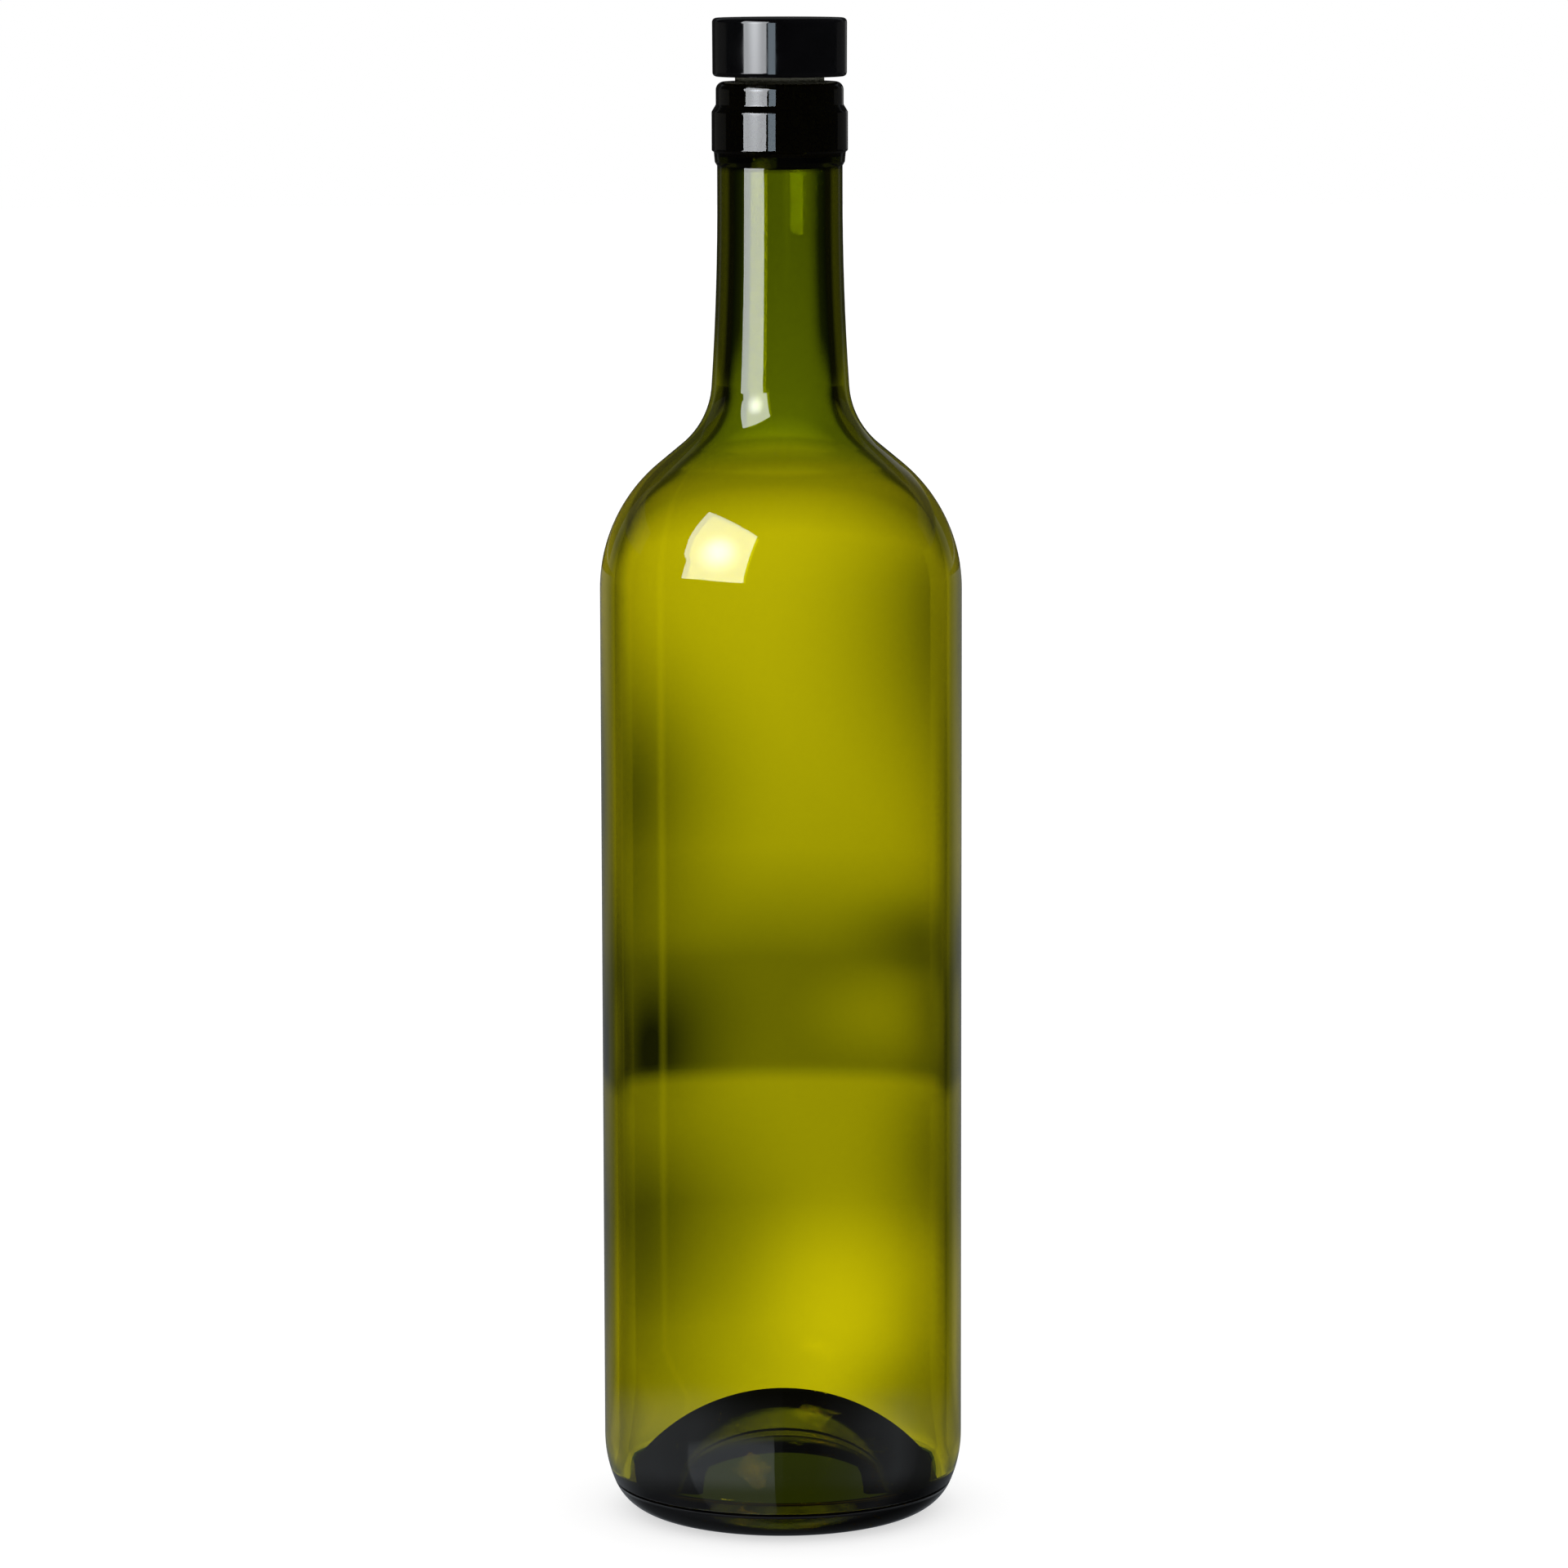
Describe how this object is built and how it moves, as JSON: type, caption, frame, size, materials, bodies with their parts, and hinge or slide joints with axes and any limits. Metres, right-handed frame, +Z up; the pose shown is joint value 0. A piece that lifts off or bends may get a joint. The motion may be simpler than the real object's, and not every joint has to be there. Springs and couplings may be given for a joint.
{
  "type": "corked glass bottle",
  "caption": "Tall straight-sided green glass bottle with a punt, stepped mouth and long neck, closed by a beige cork stopper under a black cap.",
  "frame": {"origin": "middle of the base, in the plane that the bottle stands on", "axes": "+Z up along the bottle's axis, from the base to the cap; the slot in the stopper's shank faces +Y"},
  "size_m": [0.075, 0.075, 0.3118],
  "materials": {
    "glass": "olive green blown glass, smooth and glossy",
    "cork": "beige moulded cork, matt with fine creases",
    "cap": "black, glossy"
  },
  "bodies": {
    "root": {"glass_bottle": "glass", "stopper_cork": "cork", "stopper_cap": "cap"}
  },
  "joints": []
}
